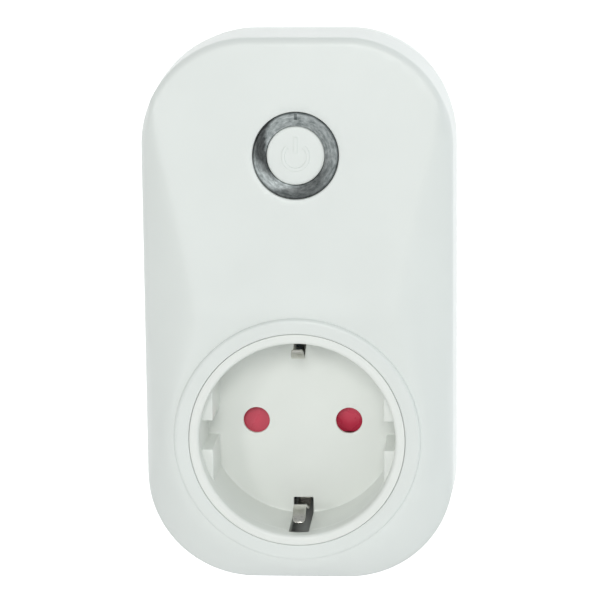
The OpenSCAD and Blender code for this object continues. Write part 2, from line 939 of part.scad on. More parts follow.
module bridge_rectifier() {
    size = [4.6, 2.5, 6.5];
    high = [-1.4, board_front, input_z + 5.5];
    color(dark) box(high - size, high);
}

// A screw along Y: its shank from end_y to head_y, its head beyond that
module screw_y(r, head_r, end_y, head_y, head_h) {
    half_cross = 0.3;
    reach = head_r * 0.6;
    difference() {
        union() {
            rod_y(r, end_y, head_y);
            rod_y(head_r, head_y, head_y + head_h);
        }
        for (turn = [0, 90]) rotate([0, turn, 0])
            box([-half_cross, head_y + head_h / 2, -reach], [half_cross, head_y + head_h + cut, reach]);
    }
}

module housing_screws() {
    color(metal) shell_screw_places()
        screw_y(shell_screw_r, shell_head_r, shell_screw_end, shell_head_y, shell_head_h);
}

module carrier_screws() {
    head_r = 1.9;
    head_h = 1.3;
    color(metal) for (z = [-1, 1]) translate([0, 0, z * carrier_screw_z])
        screw_y(carrier_screw_r, head_r, floor_back - cut, carrier_back + sheet, head_h);
}

module control_board_screws() {
    head_r = 1.6;
    head_h = 0.9;
    grip = 3.5;
    color(metal) control_post_places()
        screw_y(control_screw_r, head_r, control_y - grip, control_back, head_h);
}

module main_board_screws() {
    head_h = 1.2;
    grip = 2;
    color(metal) board_post_places() mirror([0, 1, 0])
        screw_y(board_screw_r, board_head_r, -board_back - grip, -board_front, head_h);
}

front_housing();
rear_housing();
plug_housing();
socket_insert();
contact_carrier();
shutter();
shutter_spring();
earth_clip_top();
earth_clip_bottom();
earth_bridge();
live_contact();
neutral_contact();
live_pin();
neutral_pin();
pin_retainer();
live_strap();
neutral_strap();
plug_earth_top();
plug_earth_bottom();
earth_sleeve();
light_ring();
power_button();
switch_body();
switch_plunger();
control_board();
ring_leds();
wifi_board();
wifi_shield();
board_header();
main_board();
relay_case();
relay_coil();
relay_armature();
transformer_core();
transformer_winding();
input_capacitor();
output_capacitor();
film_capacitor();
varistor();
fuse_resistor();
bridge_rectifier();
housing_screws();
carrier_screws();
control_board_screws();
main_board_screws();
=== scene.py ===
import json
import math

import bmesh
import bpy
from mathutils import Matrix, Vector
from mathutils.geometry import delaunay_2d_cdt


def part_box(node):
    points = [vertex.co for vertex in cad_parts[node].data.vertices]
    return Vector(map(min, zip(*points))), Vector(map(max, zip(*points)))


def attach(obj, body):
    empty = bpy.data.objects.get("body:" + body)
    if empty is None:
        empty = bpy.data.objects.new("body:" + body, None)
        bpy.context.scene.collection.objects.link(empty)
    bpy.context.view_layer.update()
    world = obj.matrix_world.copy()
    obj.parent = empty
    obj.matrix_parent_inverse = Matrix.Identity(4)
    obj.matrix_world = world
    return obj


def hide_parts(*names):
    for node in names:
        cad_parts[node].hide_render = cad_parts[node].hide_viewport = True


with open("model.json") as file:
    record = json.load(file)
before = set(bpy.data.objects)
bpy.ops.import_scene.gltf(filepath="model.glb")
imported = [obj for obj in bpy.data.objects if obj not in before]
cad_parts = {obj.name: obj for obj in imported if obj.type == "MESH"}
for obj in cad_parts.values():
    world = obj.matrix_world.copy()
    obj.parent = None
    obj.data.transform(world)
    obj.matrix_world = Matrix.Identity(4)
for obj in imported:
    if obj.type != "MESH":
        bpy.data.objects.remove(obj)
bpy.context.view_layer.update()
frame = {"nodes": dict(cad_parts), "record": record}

MM = 0.001


# ---------------------------------------------------------------- sizes, in millimetres
def box_mm(node):
    """Lowest and highest corners of a CAD node."""
    low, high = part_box(node)
    return [v / MM for v in low], [v / MM for v in high]


FRONT_LOW, FRONT_HIGH = box_mm("front_housing")
INSERT_HIGH = box_mm("socket_insert")[1]
RING_HIGH = box_mm("light_ring")[1]
BUTTON_LOW, BUTTON_HIGH = box_mm("power_button")
PIN_LOW, PIN_HIGH = box_mm("neutral_pin")
PLUG_LOW, PLUG_HIGH = box_mm("plug_housing")

FLARE = 0.5                                  # extra half width at the seam
HALF_W = FRONT_HIGH[0] - FLARE               # half width at the front edge
TOP_Z = FRONT_HIGH[2] - FLARE
BOTTOM_Z = FRONT_LOW[2] + FLARE
CORNER_R = 21.5
RIM_Y = FRONT_LOW[1]                         # plane of the socket's rim
SEAM_Y = -12.0
WALL = 2.0
EDGE_DROP = 7.6                              # depth of the front edge below the rim
COLLAR_R = 24.7
COLLAR_STEP = 0.9
HOLE_R = 21.6                                # hole of the collar
INSERT_R = 21.4
FLANGE_DEPTH = 3.6                           # flanges of insert and ring behind the face
SLOPE = (EDGE_DROP - COLLAR_STEP) / (TOP_Z - COLLAR_R)
BUTTON_Z = (BUTTON_LOW[2] + BUTTON_HIGH[2]) / 2
BUTTON_R = 5.75
BUTTON_SET_BACK = 0.3                        # button face behind the sloped face
RING_R = 8.45
RING_IN_R = 5.85
RING_HOLE_R = 8.55
RECESS_R = 19.6
RECESS_D = 17.5
FLOOR_T = 2.2
POST_R = 1.5                                 # post that the shutter turns on
SCREW_POST_R = 2.4
SCREW_POST_Z = 11.0
GUIDE_X = 17.13
GUIDE_DROP = 4.2
NOTCH_W = 5.9
PIN_X = 9.5
PIN_HOLE_R = 2.7
CLIP_W = 2.6
SLOT_W = 4.1
SLOT_IN = 16.2
SLOT_DEPTH = 2.7
BOSS_R = 18.4
BOSS_FLAT = 16.8
BOSS_H = 17.0
RIB_W = NOTCH_W - 0.7
CHANNEL_W = 4.2
CHANNEL_R = 17.0
PIN_R = 2.4
EARTH_Z = 10.0
EARTH_R = 2.55
REAR_ROUND = 2.4                             # rounding of the rear edge, clear of the screw holes
SEAM_ROUND = 0.35
SCREW_HEAD_R = 2.4
CLIP_T = 0.5

ROUND_SIDES = 192                            # sides of the big circles at the front
BUTTON_SIDES = 128
HOLE_SIDES = 96
BORE_SIDES = 48
PIN_SIDES = 64
MERGE = 1e-3                                 # points nearer than this become one


# ---------------------------------------------------------------- mesh building
class Shell:
    """Collects points and faces in millimetres and turns them into an object."""

    def __init__(self):
        self.points = []
        self.faces = []

    def ring(self, points):
        start = len(self.points)
        self.points += [tuple(p) for p in points]
        return list(range(start, len(self.points)))

    def bridge(self, a, b, closed=True):
        count = len(a)
        for i in range(count if closed else count - 1):
            j = (i + 1) % count
            corners = tuple(dict.fromkeys((a[i], a[j], b[j], b[i])))
            if len(corners) > 2:
                self.faces.append(corners)

    def skin(self, outlines, last=None):
        """Joins outlines one after the other, beginning at the ring last if there is one."""
        for points in outlines:
            ring = self.ring(points)
            if last:
                self.bridge(last, ring)
            last = ring
        return last

    def cap(self, ring):
        self.faces.append(tuple(ring))

    def build(self, name, sharp=35):
        mesh = bpy.data.meshes.new(name)
        mesh.from_pydata([Vector(p) * MM for p in self.points], [], self.faces)
        work = bmesh.new()
        work.from_mesh(mesh)
        bmesh.ops.remove_doubles(work, verts=work.verts, dist=MERGE * MM)
        bmesh.ops.dissolve_degenerate(work, edges=work.edges, dist=MERGE * MM / 2)
        loose = [v for v in work.verts if not v.link_faces]
        bmesh.ops.delete(work, geom=loose, context="VERTS")
        bmesh.ops.recalc_face_normals(work, faces=work.faces)
        work.to_mesh(mesh)
        work.free()
        piece = bpy.data.objects.new(name, mesh)
        bpy.context.scene.collection.objects.link(piece)
        shade(piece, sharp)
        return piece


def shade(piece, sharp):
    piece.data.shade_smooth()
    piece.data.set_sharp_from_angle(angle=math.radians(sharp))


def apply_modifiers(piece, sharp):
    """Replaces a piece's mesh with what its modifiers make of it."""
    graph = bpy.context.evaluated_depsgraph_get()
    graph.update()
    mesh = bpy.data.meshes.new_from_object(piece.evaluated_get(graph))
    piece.modifiers.clear()
    piece.data = mesh
    shade(piece, sharp)


def soften(piece, width):
    """Rounds every sharp edge of a piece."""
    bevel = piece.modifiers.new("round", "BEVEL")
    bevel.width = width * MM
    bevel.segments = 2
    bevel.limit_method = "ANGLE"
    bevel.angle_limit = math.radians(40)
    bevel.use_clamp_overlap = True
    apply_modifiers(piece, 35)


def circle(r, n, x=0.0, z=0.0):
    return [(x + r * math.cos(2 * math.pi * i / n), z + r * math.sin(2 * math.pi * i / n)) for i in range(n)]


def lift(outline, y):
    """Puts a flat XZ outline at a depth, which may be a function of x and z."""
    if callable(y):
        return [(x, y(x, z), z) for x, z in outline]
    return [(x, y, z) for x, z in outline]


def rounds(profile, n, x=0.0, z=0.0):
    """Circles about a line along Y. The profile is a list of (radius, y)."""
    return [lift(circle(r, n, x, z), y) for r, y in profile]


def lathe(profile, n, x=0.0, z=0.0):
    """A surface of revolution about a line along Y. The profile is a list of (radius, y)."""
    shell = Shell()
    rings = []
    for r, y in profile:
        if r < 1e-6:
            rings.append(shell.ring(lift([(x, z)], y)) * n)
        else:
            rings.append(shell.ring(lift(circle(r, n, x, z), y)))
    for a, b in zip(rings, rings[1:]):
        shell.bridge(a, b)
    return shell


def inside(point, loop):
    x, z = point
    hit = False
    for (x0, z0), (x1, z1) in zip(loop, loop[1:] + loop[:1]):
        if (z0 > z) != (z1 > z) and x < (x1 - x0) * (z - z0) / (z1 - z0) + x0:
            hit = not hit
    return hit


def distance_to(point, loop):
    return min(math.dist(point, q) for q in loop)


def fill(shell, outer, holes, y, spacing=None, hold=0.0):
    """Covers the area between flat outlines. Curved surfaces get grid points at a spacing, and a narrow
    band of width hold along every outline keeps the shading of flat ones even."""
    loops = [outer] + list(holes)
    if hold:
        inner = [grown(outer, -hold)] + [grown(hole, hold) for hole in holes]
        for loop, held in zip(loops, inner):
            shell.bridge(shell.ring(lift(loop, y)), shell.ring(lift(held, y)))
        outer, holes, loops = inner[0], inner[1:], inner
    points = [p for loop in loops for p in loop]
    edges = []
    start = 0
    for loop in loops:
        edges += [(start + i, start + (i + 1) % len(loop)) for i in range(len(loop))]
        start += len(loop)
    if spacing:
        rows = int((max(p[1] for p in outer) - min(p[1] for p in outer)) / (spacing * 0.866)) + 1
        columns = int((max(p[0] for p in outer) - min(p[0] for p in outer)) / spacing) + 1
        low_x = min(p[0] for p in outer)
        low_z = min(p[1] for p in outer)
        for row in range(rows + 1):
            for column in range(columns + 1):
                p = (low_x + (column + 0.5 * (row % 2)) * spacing, low_z + row * spacing * 0.866)
                if not inside(p, outer) or any(inside(p, hole) for hole in holes):
                    continue
                if min(distance_to(p, loop) for loop in loops) > spacing * 0.55:
                    points.append(p)
    verts, _, faces, *_ = delaunay_2d_cdt([Vector(p) for p in points], edges, [], 0, 1e-6)
    ring = shell.ring(lift([(v.x, v.y) for v in verts], y))
    for face in faces:
        centre = (sum(verts[i].x for i in face) / len(face), sum(verts[i].y for i in face) / len(face))
        if inside(centre, outer) and not any(inside(centre, hole) for hole in holes):
            shell.faces.append(tuple(ring[i] for i in face))


def arc(x, z, r, start, stop, n):
    """Points on an arc, angles in degrees."""
    return [(x + r * math.cos(math.radians(start + (stop - start) * i / n)),
             z + r * math.sin(math.radians(start + (stop - start) * i / n))) for i in range(n + 1)]


def straight(a, b, n):
    """Points between two others, without the ends."""
    return [(a[0] + (b[0] - a[0]) * i / n, a[1] + (b[1] - a[1]) * i / n) for i in range(1, n)]


def body_outline(inset=0.0, corner_steps=24, step=2.0):
    """The body seen from the front, drawn in by inset. Rings of any inset match point by point."""
    r = CORNER_R - inset
    x = HALF_W - CORNER_R
    high = TOP_Z - CORNER_R
    low = BOTTOM_Z + CORNER_R
    corners = [arc(x, high, r, 0, 90, corner_steps), arc(-x, high, r, 90, 180, corner_steps),
               arc(-x, low, r, 180, 270, corner_steps), arc(x, low, r, 270, 360, corner_steps)]
    spans = [2 * x, high - low, 2 * x, high - low]
    points = []
    for corner, after, span in zip(corners, corners[1:] + corners[:1], spans):
        points += corner + straight(corner[-1], after[0], max(2, int(span / step)))
    return points


def round_corners(loop, r, steps=4, limit=25):
    """Rounds the corners of a flat outline that turn by more than limit degrees."""
    points = []
    count = len(loop)
    for i, p in enumerate(loop):
        before = Vector(loop[i - 1]) - Vector(p)
        after = Vector(loop[(i + 1) % count]) - Vector(p)
        turn = math.pi - before.angle(after)
        if math.degrees(turn) < limit:
            points.append(p)
            continue
        reach = min(r * math.tan(turn / 2), 0.45 * before.length, 0.45 * after.length)
        a = Vector(p) + before.normalized() * reach
        b = Vector(p) + after.normalized() * reach
        for k in range(steps + 1):
            t = k / steps
            q = a * (1 - t) ** 2 + Vector(p) * 2 * t * (1 - t) + b * t ** 2
            points.append((q.x, q.y))
    return points


def grown(loop, offset):
    """A flat outline moved outwards by offset, point by point."""
    area = sum(a[0] * b[1] - b[0] * a[1] for a, b in zip(loop, loop[1:] + loop[:1]))
    sign = 1 if area > 0 else -1
    points = []
    count = len(loop)
    for i, p in enumerate(loop):
        a = (Vector(p) - Vector(loop[i - 1])).normalized()
        b = (Vector(loop[(i + 1) % count]) - Vector(p)).normalized()
        normal = Vector((a.y + b.y, -a.x - b.x)) * sign
        normal.normalize()
        stretch = max(0.4, normal.dot(Vector((a.y, -a.x)) * sign))
        q = Vector(p) + normal * offset / stretch
        points.append((q.x, q.y))
    return points


def finish_piece(piece, body, slot, material, *nodes):
    """Gives a piece its body, its finish and the CAD nodes that it stands for."""
    piece.data.materials.clear()
    piece.data.materials.append(material)
    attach(piece, body)
    if nodes:
        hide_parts(*nodes)
    return piece


# ---------------------------------------------------------------- materials
class Nodes:
    """A short way to write a node material."""

    def __init__(self, name):
        self.material = bpy.data.materials.new(name)
        self.material.use_nodes = True
        self.tree = self.material.node_tree
        self.shader = self.tree.nodes["Principled BSDF"]
        self.place = self.add("ShaderNodeTexCoord").outputs["Object"]

    def add(self, kind, **settings):
        node = self.tree.nodes.new(kind)
        for key, value in settings.items():
            setattr(node, key, value)
        return node

    def link(self, a, b):
        self.tree.links.new(a, b)

    def set(self, **values):
        for key, value in values.items():
            self.shader.inputs[key.replace("_", " ")].default_value = value

    def noise(self, scale, detail=3.0, rough=0.5, vector=None):
        node = self.add("ShaderNodeTexNoise")
        node.inputs["Scale"].default_value = scale
        node.inputs["Detail"].default_value = detail
        node.inputs["Roughness"].default_value = rough
        self.link(vector or self.place, node.inputs["Vector"])
        return node.outputs["Fac"]

    def stretch(self, x, y, z):
        node = self.add("ShaderNodeMapping")
        node.inputs["Scale"].default_value = (x, y, z)
        self.link(self.place, node.inputs["Vector"])
        return node.outputs["Vector"]

    def ramp(self, value, *stops):
        node = self.add("ShaderNodeValToRGB")
        elements = node.color_ramp.elements
        while len(elements) < len(stops):
            elements.new(0.5)
        for element, (at, colour) in zip(elements, stops):
            element.position = at
            element.color = (*colour, 1.0)
        self.link(value, node.inputs["Fac"])
        return node.outputs["Color"]

    def between(self, value, low, high):
        node = self.add("ShaderNodeMapRange")
        node.inputs["To Min"].default_value = low
        node.inputs["To Max"].default_value = high
        self.link(value, node.inputs["Value"])
        return node.outputs["Result"]

    def math(self, operation, *values):
        node = self.add("ShaderNodeMath", operation=operation)
        for socket, value in zip(node.inputs, values):
            if isinstance(value, float):
                socket.default_value = value
            else:
                self.link(value, socket)
        return node.outputs[0]

    def multiply(self, a, b):
        node = self.add("ShaderNodeMix", data_type="RGBA", blend_type="MULTIPLY")
        node.inputs["Factor"].default_value = 1.0
        colours = [socket for socket in node.inputs if socket.type == "RGBA"]
        self.link(a, colours[0])
        self.link(b, colours[1])
        return [socket for socket in node.outputs if socket.type == "RGBA"][0]

    def colour(self, output):
        self.link(output, self.shader.inputs["Base Color"])

    def rough(self, value, low, high):
        self.link(self.between(value, low, high), self.shader.inputs["Roughness"])

    def bump(self, value, strength, distance):
        node = self.add("ShaderNodeBump")
        node.inputs["Strength"].default_value = strength
        node.inputs["Distance"].default_value = distance * MM
        self.link(value, node.inputs["Height"])
        self.link(node.outputs["Normal"], self.shader.inputs["Normal"])


def shades(colour, spread):
    return tuple(c * (1 - spread) for c in colour), tuple(min(1.0, c * (1 + spread)) for c in colour)


def moulded_plastic(name, colour, rough=(0.32, 0.42), grain=0.012, spread=0.012):
    """Injection moulded plastic: spark-eroded grain, faint flow clouds and patches of gloss."""
    m = Nodes(name)
    dark, light = shades(colour, spread)
    m.colour(m.ramp(m.noise(60.0, 2.0), (0.35, dark), (0.65, light)))
    m.rough(m.noise(240.0, 4.0), *rough)
    m.bump(m.noise(5200.0, 2.0), 0.35, grain)
    m.set(IOR=PLASTIC_IOR)
    return m.material


def plated_metal(name, colour, rough=(0.22, 0.36), drawn=(1.0, 14.0, 1.0)):
    """Plated sheet or rod: drawing marks along the piece and slight tarnish."""
    m = Nodes(name)
    dark, light = shades(colour, 0.12)
    m.colour(m.ramp(m.noise(320.0, 4.0), (0.3, dark), (0.7, light)))
    marks = m.noise(700.0, 3.0, vector=m.stretch(*drawn))
    m.rough(marks, *rough)
    m.bump(marks, 0.2, 0.01)
    m.set(Metallic=1.0)
    return m.material


def circuit_board(name, colour, copper):
    """Lacquered board: copper tracks show as lighter lines under the lacquer."""
    m = Nodes(name)
    weave = m.add("ShaderNodeTexBrick")
    weave.inputs["Scale"].default_value = 180.0
    weave.inputs["Color1"].default_value = (*colour, 1.0)
    weave.inputs["Color2"].default_value = (*copper, 1.0)
    weave.inputs["Mortar"].default_value = (*[c * 0.7 for c in colour], 1.0)
    weave.inputs["Mortar Size"].default_value = 0.03
    m.link(m.place, weave.inputs["Vector"])
    m.colour(weave.outputs["Color"])
    m.rough(m.noise(900.0), 0.25, 0.4)
    m.bump(weave.outputs["Fac"], 0.3, 0.03)
    return m.material


def wound_wire(name, colour):
    """Turns of lacquered wire side by side."""
    m = Nodes(name)
    wave = m.add("ShaderNodeTexWave", wave_type="BANDS", bands_direction="X")
    wave.inputs["Scale"].default_value = 900.0
    m.link(m.place, wave.inputs["Vector"])
    dark, light = shades(colour, 0.4)
    m.colour(m.ramp(wave.outputs["Fac"], (0.1, dark), (0.8, light)))
    m.bump(wave.outputs["Fac"], 0.8, 0.1)
    m.set(Metallic=0.6, Roughness=0.3)
    return m.material


def smoky_ring(name):
    """Clear smoky plastic: light and dark stretches round the ring are painted reflections in its colour."""
    m = Nodes(name)
    parts = m.add("ShaderNodeSeparateXYZ")
    m.link(m.place, parts.inputs[0])
    height = m.math("SUBTRACT", parts.outputs["Z"], BUTTON_Z * MM)
    flat = m.add("ShaderNodeCombineXYZ")
    m.link(parts.outputs["X"], flat.inputs["X"])
    m.link(height, flat.inputs["Y"])
    angle = m.add("ShaderNodeTexGradient", gradient_type="RADIAL")
    m.link(flat.outputs[0], angle.inputs["Vector"])
    radius = m.add("ShaderNodeVectorMath", operation="LENGTH")
    m.link(flat.outputs[0], radius.inputs[0])
    coarse = m.noise(420.0, 4.0, 0.6)
    # fine streaks that run round the ring
    streaks = m.add("ShaderNodeCombineXYZ")
    m.link(radius.outputs["Value"], streaks.inputs["X"])
    m.link(m.math("MULTIPLY", angle.outputs["Fac"], 0.016), streaks.inputs["Y"])
    fine = m.noise(2000.0, 4.0, 0.65, vector=streaks.outputs[0])
    # the painted reflection stretches lean with the radius and waver with the coarse noise
    lean = 0.05 / MM
    waver = 0.09
    twist = m.math("MULTIPLY_ADD", radius.outputs["Value"], lean, angle.outputs["Fac"])
    turn = m.math("FRACT", m.math("MULTIPLY_ADD", coarse, waver, twist))
    # painted reflections: this ramp paints light and dark stretches round the ring by angle
    painted_reflections = m.ramp(turn, *[(at, (g * 0.93, g, g)) for at, g in RING_REFLECTION_GREYS])
    grain = m.ramp(fine, (0.35, (0.42, 0.44, 0.44)), (0.65, (1.0, 1.0, 1.0)))
    # the mark of the moulding gate at twelve o'clock, and the darker rim
    gate = m.math("MULTIPLY", m.math("COMPARE", parts.outputs["X"], 0.0, 0.3 * MM),
                  m.math("COMPARE", height, 7.6 * MM, 0.6 * MM))
    dark_gate = m.ramp(gate, (0.0, (1.0, 1.0, 1.0)), (1.0, (0.4, 0.42, 0.42)))
    rim = m.ramp(m.math("DIVIDE", radius.outputs["Value"], RING_R * MM), (0.955, (1.0, 1.0, 1.0)),
                 (0.985, (0.45, 0.46, 0.46)))
    m.colour(m.multiply(m.multiply(painted_reflections, grain), m.multiply(dark_gate, rim)))
    m.rough(fine, 0.16, 0.3)
    m.bump(fine, 0.25, 0.08)
    m.set(IOR=PLASTIC_IOR, Specular_IOR_Level=0.12)
    return m.material


PLASTIC_IOR = 1.49
# painted reflections: greys set round the ring by angle, not the plastic's own colour
RING_REFLECTION_GREYS = (                               # greys along one turn, counterclockwise, before the lean
    (0.0, 0.44), (0.07, 0.46), (0.155, 0.5), (0.24, 0.56), (0.29, 0.5), (0.325, 0.1), (0.4, 0.1),
    (0.45, 0.3), (0.5, 0.72), (0.56, 0.64), (0.61, 0.26), (0.67, 0.18), (0.75, 0.17), (0.82, 0.3),
    (0.9, 0.42), (1.0, 0.44))

WHITE = moulded_plastic("white plastic", (0.80, 0.835, 0.81))
# painted light: a lighter, slightly glossier copy of the white plastic, so the shaded recess reads brighter
WHITE_GLOSS_LIGHTENED = moulded_plastic("white insert plastic, lightened against recess shade", (0.85, 0.875, 0.84), rough=(0.3, 0.4), grain=0.006)
GREY = moulded_plastic("dark grey plastic", (0.09, 0.09, 0.085), spread=0.05)
RED = moulded_plastic("red plastic", (0.70, 0.05, 0.105), rough=(0.22, 0.32), grain=0.006, spread=0.06)
BLACK = moulded_plastic("black plastic", (0.02, 0.02, 0.022), spread=0.2)
BLUE = moulded_plastic("blue case plastic", (0.03, 0.1, 0.35), rough=(0.18, 0.28), spread=0.06)
YELLOW = moulded_plastic("yellow tape", (0.75, 0.52, 0.06), rough=(0.2, 0.4), spread=0.08)
SLEEVE = moulded_plastic("capacitor sleeve", (0.04, 0.05, 0.1), rough=(0.2, 0.3), spread=0.1)
VARISTOR = moulded_plastic("varistor coat", (0.02, 0.2, 0.42), rough=(0.35, 0.55), grain=0.04, spread=0.08)
RESISTOR = moulded_plastic("resistor coat", (0.16, 0.3, 0.14), rough=(0.5, 0.7), grain=0.04, spread=0.1)
RESIN = moulded_plastic("diode resin", (0.85, 0.8, 0.55), rough=(0.1, 0.2), spread=0.05)
FERRITE = moulded_plastic("ferrite", (0.05, 0.05, 0.055), rough=(0.5, 0.65), grain=0.05, spread=0.2)
NICKEL = plated_metal("nickel plate", (0.62, 0.61, 0.57))
STEEL = plated_metal("zinc plated steel", (0.5, 0.51, 0.53), rough=(0.3, 0.45))
BRASS = plated_metal("stamped brass", (0.72, 0.5, 0.2), rough=(0.25, 0.4))
COPPER = wound_wire("copper winding", (0.5, 0.2, 0.08))
GREEN_BOARD = circuit_board("green circuit board", (0.02, 0.13, 0.05), (0.05, 0.22, 0.09))
BLUE_BOARD = circuit_board("blue circuit board", (0.015, 0.06, 0.25), (0.03, 0.11, 0.36))
SMOKY = smoky_ring("smoky clear plastic, painted reflections")

SLOT_MATERIALS = {
    "white_plastic": WHITE, "grey_plastic": GREY, "red_plastic": RED, "clear_plastic": SMOKY,
    "nickel": NICKEL, "brass": BRASS, "steel": STEEL, "circuit_board": GREEN_BOARD,
    "blue_board": BLUE_BOARD, "black_plastic": BLACK, "blue_plastic": BLUE, "copper_coil": COPPER,
    "ferrite": FERRITE, "yellow_tape": YELLOW, "sleeve_plastic": SLEEVE, "varistor_coat": VARISTOR,
    "resistor_coat": RESISTOR, "led_resin": RESIN,
}


def dress_cad_nodes():
    """Every CAD node gets the procedural material of its slot."""
    slots = {part["node"]: part["material_slot"] for part in frame["record"]["subparts"]}
    for node, piece in frame["nodes"].items():
        piece.data.materials.clear()
        piece.data.materials.append(SLOT_MATERIALS[slots[node]])


# ---------------------------------------------------------------- front shell
def smooth_step(t):
    t = max(0.0, min(1.0, t))
    return t * t * (3 - 2 * t)


def smooth_min(a, b, k):
    h = max(0.0, min(1.0, 0.5 + 0.5 * (b - a) / k))
    return b + (a - b) * h - k * h * (1 - h)


def edge_distance(x, z):
    """Distance from a point of the front to the body's outline, positive inside."""
    mid = (TOP_Z + BOTTOM_Z) / 2
    dx = abs(x) - (HALF_W - CORNER_R)
    dz = abs(z - mid) - ((TOP_Z - BOTTOM_Z) / 2 - CORNER_R)
    return CORNER_R - min(max(dx, dz), 0.0) - math.hypot(max(dx, 0.0), max(dz, 0.0))


TONGUE_NARROW = 19.0      # half width of the flat tongue just above the collar
TONGUE_WIDE = 30.0        # and at the top of the body
TONGUE_LOW = 18.0
TONGUE_BLEND = 9.0
SHOULDER_POWER = 1.55


def tongue_distance(x, z):
    """Distance outside the flat tongue that runs from the collar up to the top edge."""
    disc = math.hypot(x, z) - COLLAR_R
    widening = smooth_step((z - TONGUE_LOW) / (TOP_Z - TONGUE_LOW))
    half = TONGUE_NARROW + (TONGUE_WIDE - TONGUE_NARROW) * widening
    if abs(x) > half or z < 0:
        strip = math.hypot(max(abs(x) - half, 0.0), max(-z, 0.0))
    else:
        strip = max(abs(x) - half, -z)
    return max(0.0, smooth_min(disc, strip, TONGUE_BLEND))


def front_depth(x, z):
    """Depth of the front face below the socket's rim."""
    flat = COLLAR_STEP + SLOPE * max(0.0, z - COLLAR_R)
    away = tongue_distance(x, z)
    edge = max(0.0, edge_distance(x, z))
    share = away / (away + edge) if away + edge > 1e-6 else 0.0
    fall = share ** SHOULDER_POWER
    return flat * (1 - fall) + max(EDGE_DROP, flat) * fall


EDGE_ROUND = 1.5


def front_surface(x, z):
    """The front face with its rounded outer edge, as a Y value."""
    inset = max(0.0, edge_distance(x, z))
    rounding = 0.0
    if inset < EDGE_ROUND:
        rounding = EDGE_ROUND - math.sqrt(EDGE_ROUND ** 2 - (EDGE_ROUND - inset) ** 2)
    return RIM_Y + front_depth(x, z) + rounding * 0.8


def front_shell():
    shell = Shell()
    # outer skin
    rounding = [EDGE_ROUND * (1 - math.cos(math.radians(a))) for a in (0, 12, 24, 38, 54, 72, 90)]
    rings = [shell.ring(lift(body_outline(inset), front_surface)) for inset in rounding]
    for a, b in zip(rings, rings[1:]):
        shell.bridge(a, b)
    collar = circle(COLLAR_R, ROUND_SIDES)
    hole_edge = circle(RING_HOLE_R + 0.3, HOLE_SIDES, 0, BUTTON_Z)
    fill(shell, body_outline(rounding[-1]), [collar, hole_edge], front_surface, 1.15)

    def inner_surface(x, z):
        return RIM_Y + front_depth(x, z) + WALL

    # side wall down to the seam, with a small rounding there, then up the inside
    edge_y = front_surface(HALF_W, 0)
    inner_inset = WALL + 0.6
    side = [(-FLARE * share, edge_y + (SEAM_Y - edge_y) * share) for share in (0.12, 0.3, 0.55, 0.8)]
    side += [(-FLARE, SEAM_Y - SEAM_ROUND), (-FLARE + 0.1, SEAM_Y - 0.1), (-FLARE + SEAM_ROUND, SEAM_Y),
             (WALL - FLARE, SEAM_Y), (WALL, edge_y + 2.5), (inner_inset, edge_y + WALL),
             (inner_inset, inner_surface)]
    shell.skin([lift(body_outline(inset), y) for inset, y in side], rings[0])
    seat_r = COLLAR_R - 0.3
    boss_r = RING_HIGH[0] + 0.8
    inner_holes = [circle(seat_r, ROUND_SIDES), circle(boss_r, HOLE_SIDES, 0, BUTTON_Z)]
    fill(shell, body_outline(inner_inset), inner_holes, inner_surface, 3.0)
    # collar: crease, rounded rim, hole wall, seat for the insert's flange
    profile = [(COLLAR_R, COLLAR_STEP), (COLLAR_R - 0.04, COLLAR_STEP - 0.1), (COLLAR_R - 0.1, 0.45),
               (COLLAR_R - 0.2, 0.26), (COLLAR_R - 0.4, 0.1), (COLLAR_R - 0.7, 0.02), (COLLAR_R - 1.1, 0.0),
               (HOLE_R + 0.35, 0.0), (HOLE_R + 0.12, 0.05), (HOLE_R + 0.02, 0.16), (HOLE_R, 0.35),
               (HOLE_R, FLANGE_DEPTH), (seat_r, FLANGE_DEPTH)]
    profile = [(r, RIM_Y + depth) for r, depth in profile] + [(seat_r, inner_surface)]
    shell.skin(rounds(profile, ROUND_SIDES))

    # hole of the light ring, with the boss that its flange rests on
    def sunk(sink):
        return lambda x, z: front_surface(x, z) + sink

    boss_y = ring_flange_y()
    profile = [(RING_HOLE_R + 0.3, sunk(0.0)), (RING_HOLE_R + 0.14, sunk(0.05)),
               (RING_HOLE_R + 0.04, sunk(0.16)), (RING_HOLE_R, sunk(0.34)), (RING_HOLE_R, boss_y),
               (boss_r, boss_y), (boss_r, inner_surface)]
    shell.skin(rounds(profile, HOLE_SIDES, 0, BUTTON_Z))
    return finish_piece(shell.build("front_shell", 40), "housing", "white_plastic", WHITE, "front_housing")


def ring_flange_y():
    """Front of the light ring's flange."""
    return RIM_Y + COLLAR_STEP + SLOPE * (BUTTON_Z - COLLAR_R) + FLANGE_DEPTH


# ---------------------------------------------------------------- rear shell and plug body
def boss_outline():
    """The plug body: a round with flats, a rib in each flat and a channel above and below."""
    half_rib = RIB_W / 2
    flat_z = math.sqrt(BOSS_R ** 2 - BOSS_FLAT ** 2)
    half_channel = CHANNEL_W / 2
    rib_angle = math.degrees(math.asin(half_rib / BOSS_R))
    flat_angle = math.degrees(math.acos(BOSS_FLAT / BOSS_R))
    channel_angle = math.degrees(math.acos(half_channel / BOSS_R))
    quarter = arc(0, 0, BOSS_R, 0, rib_angle, 3)
    quarter += [(BOSS_FLAT, half_rib)] + straight((BOSS_FLAT, half_rib), (BOSS_FLAT, flat_z), 3)
    quarter += arc(0, 0, BOSS_R, flat_angle, channel_angle, 26)
    quarter += [(half_channel, CHANNEL_R)]
    right = quarter + [(-x, z) for x, z in reversed(quarter)]
    loop = right + [(-x, -z) for x, z in right[1:-1]]
    return round_corners(loop, 0.35, 4)


